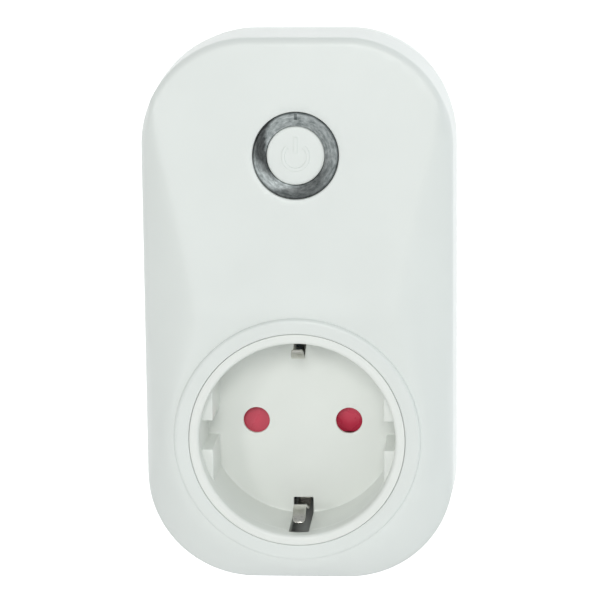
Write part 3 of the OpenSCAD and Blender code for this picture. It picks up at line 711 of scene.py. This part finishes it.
def screw_places():
    low, high = box_mm("housing_screws")
    low_in, high_in = 12.2, 13.2             # distances from the side of the body
    low_x = HALF_W - low_in
    high_x = HALF_W - high_in
    low_z = low[2] + SCREW_HEAD_R
    high_z = high[2] - SCREW_HEAD_R
    return [(low_x, low_z), (-low_x, low_z), (high_x, high_z), (-high_x, high_z)]


def rear_shell():
    shell = Shell()
    inner = WALL - 0.5
    # outside from the seam to the rear face
    profile = [(inner, SEAM_Y), (-FLARE + SEAM_ROUND, SEAM_Y), (-FLARE + 0.1, SEAM_Y + 0.1),
               (-FLARE, SEAM_Y + SEAM_ROUND), (-FLARE * 0.75, SEAM_Y + 2.5), (-FLARE * 0.35, SEAM_Y + 5.5),
               (0.0, -REAR_ROUND - 0.2)]
    for a in (12, 24, 36, 48, 60, 70, 80, 90):
        profile.append((REAR_ROUND * (1 - math.cos(math.radians(a))),
                        -REAR_ROUND + REAR_ROUND * math.sin(math.radians(a))))
    shell.skin([lift(body_outline(inset), y) for inset, y in profile])
    plug_hole = grown(boss_outline(), 0.05)
    screw_hole = 2.5
    head_depth = 2.7
    shank_r = 1.35
    post_r = 3.0
    places = screw_places()
    mouths = [circle(screw_hole + 0.25, BORE_SIDES, x, z) for x, z in places]
    fill(shell, body_outline(REAR_ROUND), [plug_hole] + mouths, 0.0, 6.0, 0.2)
    shell.skin([lift(plug_hole, 0.0), lift(plug_hole, -WALL)])
    # inside of the rear wall, with a post round each screw
    floor = body_outline(inner + 0.5)
    fill(shell, floor, [plug_hole] + [circle(post_r, BORE_SIDES, x, z) for x, z in places], -WALL)
    inner_wall = body_outline(inner)
    shell.skin([lift(floor, -WALL), lift(inner_wall, -WALL - 2.0), lift(inner_wall, SEAM_Y)])
    post_end = SEAM_Y + 0.1
    profile = [(screw_hole + 0.25, 0.0), (screw_hole + 0.07, -0.07), (screw_hole, -0.25),
               (screw_hole, -head_depth), (shank_r, -head_depth), (shank_r, post_end), (post_r, post_end),
               (post_r, -WALL)]
    for x, z in places:
        shell.skin(rounds(profile, BORE_SIDES, x, z))
    return finish_piece(shell.build("rear_shell", 40), "housing", "white_plastic", WHITE, "rear_housing")


def plug_body():
    """A deep cap behind the rear shell, held by its flange: rounded front edge, holes for pins and tube."""
    shell = Shell()
    boss = boss_outline()
    inner_r = BOSS_R - 2.2
    inner_face = BOSS_H - 3.0
    flange_r = PLUG_HIGH[0]
    flange_back = PLUG_LOW[1]
    edge = 0.28
    flange = circle(flange_r, HOLE_SIDES)
    shell.skin([lift(flange, flange_back), lift(flange, -WALL)])
    fill(shell, flange, [boss], -WALL)
    sections = [(0.0, BOSS_H / 2), (0.0, BOSS_H - 0.3), (-0.04, BOSS_H - 0.14), (-0.14, BOSS_H - 0.04),
                (-edge, BOSS_H)]
    shell.skin([lift(boss, -WALL)] + [lift(grown(boss, offset), y) for offset, y in sections])
    holes = [(PIN_X, 0.0, PIN_R + 0.02), (-PIN_X, 0.0, PIN_R + 0.02), (0.0, EARTH_Z, EARTH_R + 0.6)]
    lip = 0.3
    fill(shell, grown(boss, -edge), [circle(r + lip, BORE_SIDES, x, z) for x, z, r in holes], BOSS_H)
    for x, z, r in holes:
        profile = [(r + lip, BOSS_H), (r + 0.09, BOSS_H - 0.09), (r, BOSS_H - lip), (r, inner_face)]
        shell.skin(rounds(profile, BORE_SIDES, x, z))
    inner = circle(inner_r, HOLE_SIDES)
    fill(shell, inner, [circle(r, BORE_SIDES, x, z) for x, z, r in holes], inner_face)
    shell.skin([lift(inner, inner_face), lift(inner, flange_back), lift(flange, flange_back)])
    piece = shell.build("plug_body", 40)
    half = CHANNEL_W / 2 - 0.02
    low, high = CHANNEL_R, flange_r + 1
    loops = [[(-half, side * low), (half, side * low), (half, side * high), (-half, side * high)]
             for side in (-1, 1)]
    cut_through(piece, loops, flange_back - 1, -WALL + 0.05)
    return finish_piece(piece, "housing", "white_plastic", WHITE, "plug_housing")


def cut_through(piece, loops, front_y, back_y):
    """Cuts straight openings with these flat outlines between two depths."""
    cutter = Shell()
    for loop in loops:
        front = cutter.ring(lift(loop, front_y))
        back = cutter.ring(lift(loop, back_y))
        cutter.bridge(front, back)
        cutter.cap(front)
        cutter.cap(back)
    cut_out(piece, cutter, 40)


def cut_out(piece, cutter, sharp, use_self=False):
    """Takes the cutter's volume out of a piece."""
    tool = cutter.build("cutter")
    cut = piece.modifiers.new("openings", "BOOLEAN")
    cut.operation = "DIFFERENCE"
    cut.solver = "EXACT"
    cut.use_self = use_self
    cut.object = tool
    apply_modifiers(piece, sharp)
    bpy.data.objects.remove(tool)


# ---------------------------------------------------------------- socket insert
def recess_outline():
    """The recess below the guides' upper edge: a round with two flats and a notch in each."""
    r = RECESS_R - 0.03
    half = NOTCH_W / 2
    corner_z = math.sqrt(r ** 2 - GUIDE_X ** 2)
    notch_angle = math.degrees(math.asin(half / r))
    corner_angle = math.degrees(math.acos(GUIDE_X / r))
    right = [(GUIDE_X, -corner_z)] + straight((GUIDE_X, -corner_z), (GUIDE_X, -half), 4) + [(GUIDE_X, -half)]
    right += arc(0, 0, r, -notch_angle, notch_angle, 8)
    right += [(GUIDE_X, half)] + straight((GUIDE_X, half), (GUIDE_X, corner_z), 4)
    top = arc(0, 0, r, corner_angle, 180 - corner_angle, 72)
    left = [(-x, -z) for x, z in right[1:]]
    bottom = [(-x, -z) for x, z in top]
    return round_corners(right + top + left + bottom[:-1], 0.4, 4)


def insert_piece():
    shell = Shell()
    floor_y = RIM_Y + RECESS_D
    floor_back = floor_y + FLOOR_T
    back_y = INSERT_HIGH[1]
    flange_r = INSERT_HIGH[0]
    flange_y = RIM_Y + FLANGE_DEPTH
    flange_back = flange_y + 1.2
    rim_r = HOLE_R - 0.06
    profile = [(INSERT_R, floor_back), (INSERT_R, flange_back), (flange_r, flange_back), (flange_r, flange_y),
               (rim_r, flange_y), (rim_r, RIM_Y + 0.3), (rim_r - 0.02, RIM_Y + 0.14),
               (rim_r - 0.08, RIM_Y + 0.04), (rim_r - 0.25, RIM_Y)]
    mouth = 0.75
    for a in (0, 15, 30, 45, 60, 75, 90):
        profile.append((RECESS_R + mouth * (1 - math.sin(math.radians(a))),
                        RIM_Y + mouth * (1 - math.cos(math.radians(a)))))
    guide_y = RIM_Y + GUIDE_DROP
    profile += [(RECESS_R, RIM_Y + SLOT_DEPTH * 0.8), (RECESS_R, guide_y)]
    shell.skin(rounds(profile, ROUND_SIDES))
    # the guides: eased upper edge, walls, rounding at the floor
    lower = recess_outline()
    edge = 0.25
    eased = grown(lower, edge)
    eased = [(x, z) if math.hypot(x, z) < RECESS_R - 0.04 else p for (x, z), p in zip(eased, lower)]
    fill(shell, circle(RECESS_R, ROUND_SIDES), [eased], guide_y)
    middle = [((a[0] + b[0] * 2) / 3, (a[1] + b[1] * 2) / 3) for a, b in zip(eased, lower)]
    foot = 0.3
    walls = [(eased, guide_y), (middle, guide_y + 0.08), (lower, guide_y + edge), (lower, floor_y - foot),
             (grown(lower, -0.09), floor_y - 0.09), (grown(lower, -foot), floor_y)]
    shell.skin([lift(outline, y) for outline, y in walls])
    # pin holes, wider behind a thin edge
    lip = 0.1
    relief_r = PIN_HOLE_R + 0.7
    relief_y = floor_y + 0.7
    pin_places = (-PIN_X, PIN_X)
    holes = [circle(PIN_HOLE_R + lip, PIN_SIDES, x, 0) for x in pin_places]
    fill(shell, grown(lower, -foot), holes, floor_y, hold=0.15)
    profile = [(PIN_HOLE_R + lip, floor_y), (PIN_HOLE_R + 0.03, floor_y + 0.03), (PIN_HOLE_R, floor_y + lip),
               (PIN_HOLE_R, relief_y), (relief_r, relief_y), (relief_r, floor_back)]
    for x in pin_places:
        shell.skin(rounds(profile, PIN_SIDES, x, 0))
    # flat back with its posts
    posts = [(0.0, POST_R), (SCREW_POST_Z, SCREW_POST_R), (-SCREW_POST_Z, SCREW_POST_R)]
    back_holes = [circle(relief_r, PIN_SIDES, x, 0) for x in pin_places]
    back_holes += [circle(r, 32, 0, z) for z, r in posts]
    fill(shell, circle(INSERT_R, ROUND_SIDES), back_holes, floor_back)
    for z, r in posts:
        end = shell.ring(lift(circle(r, 32, 0, z), back_y))
        shell.bridge(shell.ring(lift(circle(r, 32, 0, z), floor_back)), end)
        shell.cap(end)
    piece = shell.build("socket_cup", 40)
    cut_through(piece, clip_slots(), RIM_Y + SLOT_DEPTH, 0.0)
    # the insert takes the lightened white: painted light against the recess's shade
    return finish_piece(piece, "housing", "white_plastic", WHITE_GLOSS_LIGHTENED, "socket_insert")


def clip_slots():
    """Outlines of the two slots that the earth clips stand in."""
    half = SLOT_W / 2
    high = INSERT_HIGH[2] + 1
    loop = round_corners([(-half, SLOT_IN), (half, SLOT_IN), (half, high), (-half, high)], 0.3, 3)
    return [[(x, z * side) for x, z in loop] for side in (-1, 1)]


# ---------------------------------------------------------------- button and ring
def slanted(sink):
    """The sloped face's plane, moved back by sink."""
    return lambda x, z: RIM_Y + COLLAR_STEP + SLOPE * (z - COLLAR_R) + sink


def light_ring():
    flange = ring_flange_y()
    flange_back = flange + 0.8
    skirt_in = BUTTON_HIGH[0] + 0.3
    skirt_front = BUTTON_HIGH[1] - 1.1
    back = RING_HIGH[1]
    face = [(RING_IN_R, 0.12), (RING_IN_R + 0.02, 0.04), (RING_IN_R + 0.1, 0.0), (RING_R - 0.45, 0.0),
            (RING_R - 0.2, 0.04), (RING_R - 0.05, 0.16), (RING_R, 0.36)]
    profile = [(r, slanted(sink)) for r, sink in face]
    profile += [(RING_R, flange), (RING_HIGH[0], flange), (RING_HIGH[0], flange_back), (RING_R, flange_back),
                (RING_R, back), (skirt_in, back), (skirt_in, skirt_front), (RING_IN_R, skirt_front),
                profile[0]]
    piece = lathe(profile, BUTTON_SIDES, 0, BUTTON_Z).build("clear_ring", 40)
    return finish_piece(piece, "housing", "clear_plastic", SMOKY, "light_ring")


def button_piece():
    back = BUTTON_HIGH[1]
    flange_r = BUTTON_HIGH[0]
    flange_front = back - 0.8
    face = [(0.0, 0.0), (BUTTON_R * 0.5, 0.0), (BUTTON_R - 0.7, 0.0), (BUTTON_R - 0.3, 0.02),
            (BUTTON_R - 0.12, 0.07), (BUTTON_R - 0.03, 0.16), (BUTTON_R, 0.3)]
    profile = [(r, slanted(BUTTON_SET_BACK + sink)) for r, sink in face]
    profile += [(BUTTON_R, flange_front), (flange_r, flange_front), (flange_r, back), (0.0, back)]
    piece = lathe(profile, BUTTON_SIDES, 0, BUTTON_Z).build("button_cap", 40)
    return finish_piece(piece, "button", "white_plastic", WHITE, "power_button")


def ridge(shell, path, half_width, height):
    """A raised band with rounded edges that follows a flat path on the button's face."""
    steps = 10
    rings = []
    count = len(path)
    for i, p in enumerate(path):
        a = Vector(path[max(0, i - 1)])
        b = Vector(path[min(count - 1, i + 1)])
        along = (b - a).normalized()
        side = Vector((along.y, -along.x))
        ring = []
        for k in range(steps + 1):
            t = math.pi * k / steps
            q = Vector(p) + side * half_width * math.cos(t)
            rise = height * min(1.0, 2.5 * math.sin(t))
            ring.append((q.x, slanted(BUTTON_SET_BACK + 0.03 - rise)(q.x, q.y), q.y))
        rings.append(shell.ring(ring))
    for a, b in zip(rings, rings[1:]):
        shell.bridge(a, b)
    for end in (rings[0], rings[-1]):
        shell.cap(end)


def power_mark():
    """The usual sign for on and off: an arc open at the top with a bar in the opening."""
    r = 2.5
    drop = 0.25                              # of the arc's centre below the button's
    half_width = 0.36
    height = 0.22
    opening = 42
    bar_low = 0.5
    bar_length = 3.1
    shell = Shell()
    sweep = arc(0, BUTTON_Z - drop, r, 90 + opening, 450 - opening, 56)
    ridge(shell, sweep, half_width, height)
    bar = [(0.0, BUTTON_Z + bar_low + bar_length * i / 12) for i in range(13)]
    ridge(shell, bar, half_width, height)
    return finish_piece(shell.build("power_mark", 50), "button", "white_plastic", WHITE)


# ---------------------------------------------------------------- metal pieces
def strip(name, path, width, thick, round_end=0.0):
    """Sheet metal strip: a flat (y, z) path given thickness outwards and width along X."""
    shell = Shell()
    count = len(path)
    rings = []
    total = sum(math.dist(a, b) for a, b in zip(path, path[1:]))
    gone = 0.0
    for i, p in enumerate(path):
        if i:
            gone += math.dist(path[i - 1], p)
        a = Vector(path[max(0, i - 1)])
        b = Vector(path[min(count - 1, i + 1)])
        along = (b - a).normalized()
        out = Vector((-along.y, along.x))
        if out.y < 0:
            out = -out
        half = width / 2
        left = total - gone
        if left < round_end:
            half *= math.sqrt(max(0.02, 1 - (1 - left / round_end) ** 2)) * 0.5 + 0.5
        q = Vector(p) + out * thick
        rings.append(shell.ring([(-half, p[0], p[1]), (half, p[0], p[1]),
                                 (half, q.x, q.y), (-half, q.x, q.y)]))
    for a, b in zip(rings, rings[1:]):
        shell.bridge(a, b)
    shell.cap(rings[0])
    shell.cap(rings[-1])
    piece = shell.build(name, 35)
    soften(piece, 0.09)
    return piece


def clip_path():
    """Side view of the upper earth clip: straight leg, bow towards the axis, turned-up end."""
    low, high = box_mm("earth_clip_top")
    root_z = high[2] - CLIP_T
    reach = low[2]
    back = high[1]
    front = low[1]
    bend = RIM_Y + RECESS_D - 0.5
    path = [(back, root_z), (back - (back - bend) / 2, root_z)]
    for i in range(41):
        t = i / 40
        bow = math.sin(math.pi * t * t)
        path.append((bend + (front - bend) * t, root_z - (root_z - reach) * bow))
    return path


def mirrored(piece):
    """Turns an upper piece into the lower one."""
    piece.data.transform(Matrix.Scale(-1, 4, (0, 0, 1)))
    piece.data.flip_normals()


def earth_clips():
    path = clip_path()
    upper = strip("upper_earth_clip", path, CLIP_W, CLIP_T, 1.6)
    finish_piece(upper, "clip_top", "nickel", NICKEL, "earth_clip_top")
    lower = strip("lower_earth_clip", path, CLIP_W, CLIP_T, 1.6)
    mirrored(lower)
    finish_piece(lower, "clip_bottom", "nickel", NICKEL, "earth_clip_bottom")


def plug_strips():
    low, high = box_mm("plug_earth_top")
    thick = 0.8
    inner = low[2]
    swell = 0.4
    path = []
    for i in range(33):
        t = i / 32
        y = low[1] + (high[1] - low[1]) * t
        path.append((y, inner + swell * math.sin(math.pi * t ** 3) ** 2))
    upper = strip("upper_plug_strip", path, 4.0, thick)
    finish_piece(upper, "housing", "nickel", NICKEL, "plug_earth_top")
    lower = strip("lower_plug_strip", path, 4.0, thick)
    mirrored(lower)
    finish_piece(lower, "housing", "nickel", NICKEL, "plug_earth_bottom")


def plug_pins():
    tip_y = PIN_HIGH[1]
    back_y = PIN_LOW[1]
    spigot = 1.2
    spigot_end = 10.0
    collar_y = 12.5
    collar_end = 14.0
    neck = PIN_R - 0.3
    collar = neck + 1.0
    neck_end = BOSS_H + 0.4
    tip_r = 1.7
    profile = [(0.0, back_y), (spigot, back_y), (spigot, spigot_end), (neck, spigot_end), (neck, collar_y),
               (collar, collar_y), (collar, collar_end), (neck, collar_end), (neck, neck_end),
               (PIN_R, neck_end), (PIN_R, tip_y - tip_r)]
    for a in range(9, 91, 9):
        profile.append((PIN_R - tip_r + tip_r * math.cos(math.radians(a)),
                        tip_y - tip_r + tip_r * math.sin(math.radians(a))))
    profile += [(0.0, tip_y)]
    for name, node, x in (("live_plug_pin", "live_pin", -PIN_X), ("neutral_plug_pin", "neutral_pin", PIN_X)):
        finish_piece(lathe(profile, PIN_SIDES, x).build(name, 35), "housing", "nickel", NICKEL, node)


def earth_tube():
    low, high = box_mm("earth_sleeve")
    front = high[1]
    back = low[1]
    outer = EARTH_R + 0.5
    flange_r = EARTH_R + 1.9
    flange_front = back + 0.8
    profile = [(EARTH_R, back), (flange_r, back), (flange_r, flange_front), (outer, flange_front),
               (outer, front - 0.15), (outer - 0.12, front), (EARTH_R + 0.2, front), (EARTH_R, front - 0.25),
               (EARTH_R, back)]
    piece = lathe(profile, PIN_SIDES, 0.0, EARTH_Z).build("earth_tube", 35)
    return finish_piece(piece, "housing", "nickel", NICKEL, "earth_sleeve")


def shell_screws():
    """Pan head screws with a cross recess, seen from behind."""
    shank_r = 1.25
    head_y = -2.6
    head_h = 1.6
    head_top = head_y + head_h
    back = box_mm("housing_screws")[0][1]
    profile = [(0.0, back), (shank_r - 0.3, back), (shank_r, back + 0.5), (shank_r, head_y),
               (SCREW_HEAD_R, head_y)]
    for a in (0, 15, 30, 45, 60):
        profile.append((SCREW_HEAD_R * math.cos(math.radians(a)) ** 0.5,
                        head_y + head_h * (0.35 + 0.65 * math.sin(math.radians(a)))))
    profile += [(0.9, head_top), (0.0, head_top)]
    shell = Shell()
    for x, z in screw_places():
        base = len(shell.points)
        part = lathe(profile, 40, x, z)
        shell.points += part.points
        shell.faces += [tuple(i + base for i in face) for face in part.faces]
    piece = shell.build("shell_screws", 35)
    cutter = Shell()
    narrow, long = 0.3, 1.3
    for x, z in screw_places():
        for half_x, half_z in ((narrow, long), (long, narrow)):
            loop = [(x - half_x, z - half_z), (x + half_x, z - half_z), (x + half_x, z + half_z),
                    (x - half_x, z + half_z)]
            back = cutter.ring(lift(loop, head_top + 0.5))
            front = cutter.ring(lift([((a + x * 2) / 3, (b + z * 2) / 3) for a, b in loop], head_y + 0.5))
            cutter.bridge(front, back)
            cutter.cap(front)
            cutter.cap(back)
    cut_out(piece, cutter, 35, use_self=True)
    return finish_piece(piece, "housing", "steel", STEEL, "housing_screws")


# ---------------------------------------------------------------- floor, light, camera
def pale_material(name, grey, glow):
    m = Nodes(name)
    m.colour(m.ramp(m.noise(3.0), (0.4, (grey,) * 3), (0.6, (grey * 1.02,) * 3)))
    m.set(Roughness=0.9, Emission_Color=(1.0, 1.0, 1.0, 1.0), Emission_Strength=glow)
    return m.material


def sheet_along_x(name, path, material):
    """A wide sheet that follows a flat (y, z) path."""
    shell = Shell()
    half = 2600.0
    rings = [shell.ring([(-half, y, z), (half, y, z)]) for y, z in path]
    for a, b in zip(rings, rings[1:]):
        shell.bridge(a, b, closed=False)
    piece = shell.build(name, 60)
    piece.data.materials.append(material)


def floor_and_backdrop():
    """A pale floor that curves up into a lit white backdrop behind the object."""
    floor_z = -260.0
    wall_y = 900.0
    bend = 350.0
    foot_y = wall_y - bend
    sheet_along_x("floor", [(-2400.0, floor_z), (foot_y, floor_z)], pale_material("pale floor", 0.84, 0.0))
    path = arc(foot_y, floor_z + bend, bend, -90, 0, 12) + [(wall_y, 2600.0)]
    sheet_along_x("backdrop", path, pale_material("lit backdrop", 0.85, 0.75))


def area_light(name, place, size, power, colour):
    data = bpy.data.lights.new(name, "AREA")
    data.shape = "RECTANGLE"
    data.size, data.size_y = size
    data.energy = power
    data.color = colour
    lamp = bpy.data.objects.new(name, data)
    bpy.context.scene.collection.objects.link(lamp)
    lamp.location = place
    target = Vector((0.0, -0.02, 0.025))
    lamp.rotation_euler = (target - Vector(place)).to_track_quat("-Z", "Y").to_euler()


def studio():
    world = bpy.data.worlds.new("studio")
    world.use_nodes = True
    background = world.node_tree.nodes["Background"]
    background.inputs["Color"].default_value = (0.96, 0.99, 1.0, 1.0)
    background.inputs["Strength"].default_value = 0.41
    bpy.context.scene.world = world
    bpy.context.scene.view_settings.view_transform = "Standard"
    area_light("front", (0.05, -1.6, 0.58), (0.4, 0.4), 6.9, (1.0, 1.0, 0.98))
    area_light("key", (-0.66, -1.5, 0.34), (0.25, 0.25), 2.6, (1.0, 1.0, 0.98))
    area_light("fill", (0.74, -1.5, 0.36), (0.7, 0.7), 1.0, (0.98, 1.0, 1.0))
    area_light("side", (1.0, -0.2, 0.5), (0.6, 0.9), 1.9, (0.86, 0.94, 1.0))


def photo_camera():
    """Half a metre in front of the socket, a little to the right and above, turned towards the body."""
    distance = 550.0
    side = 41.8
    height = 136.8
    yaw = 0.0741
    pitch = 0.1938
    roll = -0.0105
    focal_in_widths = 2853.5 / 600
    forward = Vector((-math.sin(yaw) * math.cos(pitch), math.cos(yaw) * math.cos(pitch), -math.sin(pitch)))
    right = Vector((math.cos(yaw), math.sin(yaw), 0.0))
    up = right.cross(forward)
    across = right * math.cos(roll) + up * math.sin(roll)
    upward = up * math.cos(roll) - right * math.sin(roll)
    data = bpy.data.cameras.new("camera")
    data.sensor_width = 36.0
    data.lens = 36.0 * focal_in_widths
    data.clip_start = 0.01
    data.clip_end = 20.0
    camera = bpy.data.objects.new("camera", data)
    bpy.context.scene.collection.objects.link(camera)
    turn = Matrix((across, upward, -forward)).transposed().to_4x4()
    camera.matrix_world = Matrix.Translation(Vector((side, RIM_Y - distance, height)) * MM) @ turn
    bpy.context.scene.camera = camera


# ---------------------------------------------------------------- making it all
photo_camera()
dress_cad_nodes()
front_shell()
rear_shell()
plug_body()
insert_piece()
light_ring()
button_piece()
power_mark()
earth_clips()
plug_strips()
plug_pins()
earth_tube()
shell_screws()
floor_and_backdrop()
studio()
